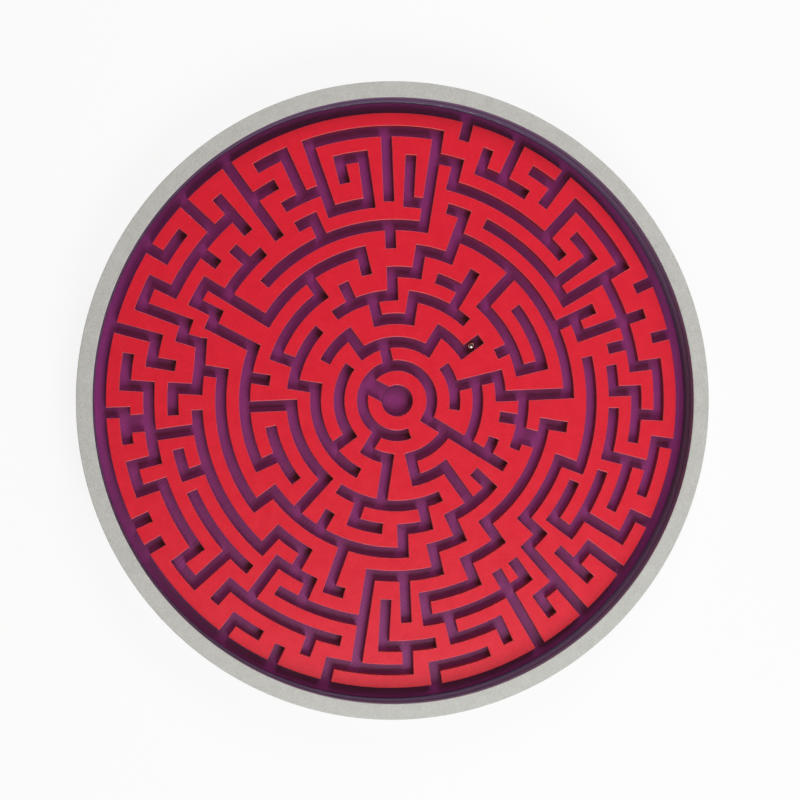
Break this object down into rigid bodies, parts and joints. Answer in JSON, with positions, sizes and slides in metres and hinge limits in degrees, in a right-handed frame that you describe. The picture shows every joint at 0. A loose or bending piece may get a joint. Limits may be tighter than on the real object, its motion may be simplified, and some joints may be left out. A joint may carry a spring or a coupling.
{
  "type": "ball maze dexterity puzzle",
  "caption": "Round flat hand-held ball maze: a grey tray holds a purple plate with red-topped maze walls, a steel ball and a clear cover.",
  "frame": {"origin": "centre of the tray's flat back, at the lowest point", "axes": "+Z out of the maze face, +X to the right and +Y up as the picture shows it"},
  "size_m": [0.148, 0.148, 0.0114],
  "materials": {
    "grey_plastic": "matt printed plastic with fine layer lines",
    "purple_plastic": "satin printed plastic with fine layer lines",
    "red_plastic": "satin printed plastic, top layer",
    "clear_acrylic": "clear polished sheet",
    "ball_steel": "polished bearing steel"
  },
  "bodies": {
    "maze": {"tray": "grey_plastic", "maze_plate": "purple_plastic", "wall_top_upper": "red_plastic", "wall_top_left": "red_plastic", "wall_top_lower_left": "red_plastic", "wall_top_lower_right": "red_plastic", "clear_cover": "clear_acrylic"},
    "rolling_ball": {"ball": "ball_steel"}
  },
  "joints": [
    {"name": "ball_along_channel", "type": "slide", "parent": "maze", "child": "rolling_ball", "axis": [0.8032, 0.5957, 0], "range_m": [-0.00285, 0.0017]}
  ]
}
